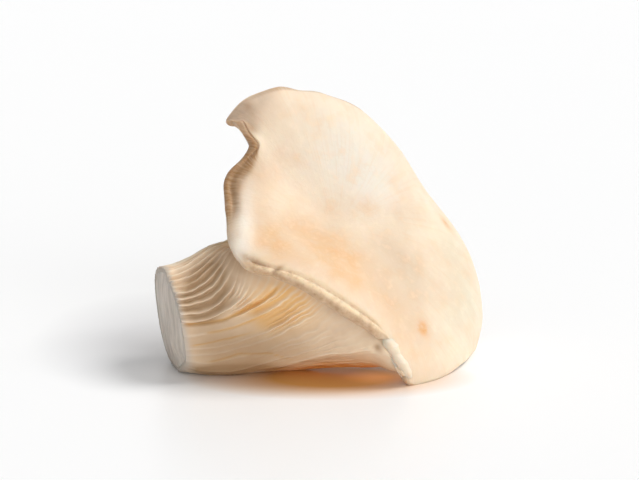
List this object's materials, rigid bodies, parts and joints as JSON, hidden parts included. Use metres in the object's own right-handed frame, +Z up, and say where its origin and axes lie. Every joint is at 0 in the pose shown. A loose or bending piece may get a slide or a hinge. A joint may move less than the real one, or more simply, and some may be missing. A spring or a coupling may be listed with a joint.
{
  "type": "oyster mushroom",
  "caption": "Single oyster mushroom lying on its side: a shell-shaped cap with a rolled lip, gills running down onto a short stem cut off straight.",
  "frame": {"origin": "middle of the part's outline on the table it lies on, at table level", "axes": "+Z up; +X from the cut end of the stem towards the far side of the cap, the part's longest extent; -Y is the side where the gills and the rolled lip show"},
  "size_m": [0.0716, 0.0449, 0.0575],
  "materials": {
    "mushroom_flesh": "matte, slightly velvety, cream to pale orange, faintly translucent at thin edges"
  },
  "bodies": {
    "root": {"oyster_mushroom": "mushroom_flesh"}
  },
  "joints": []
}
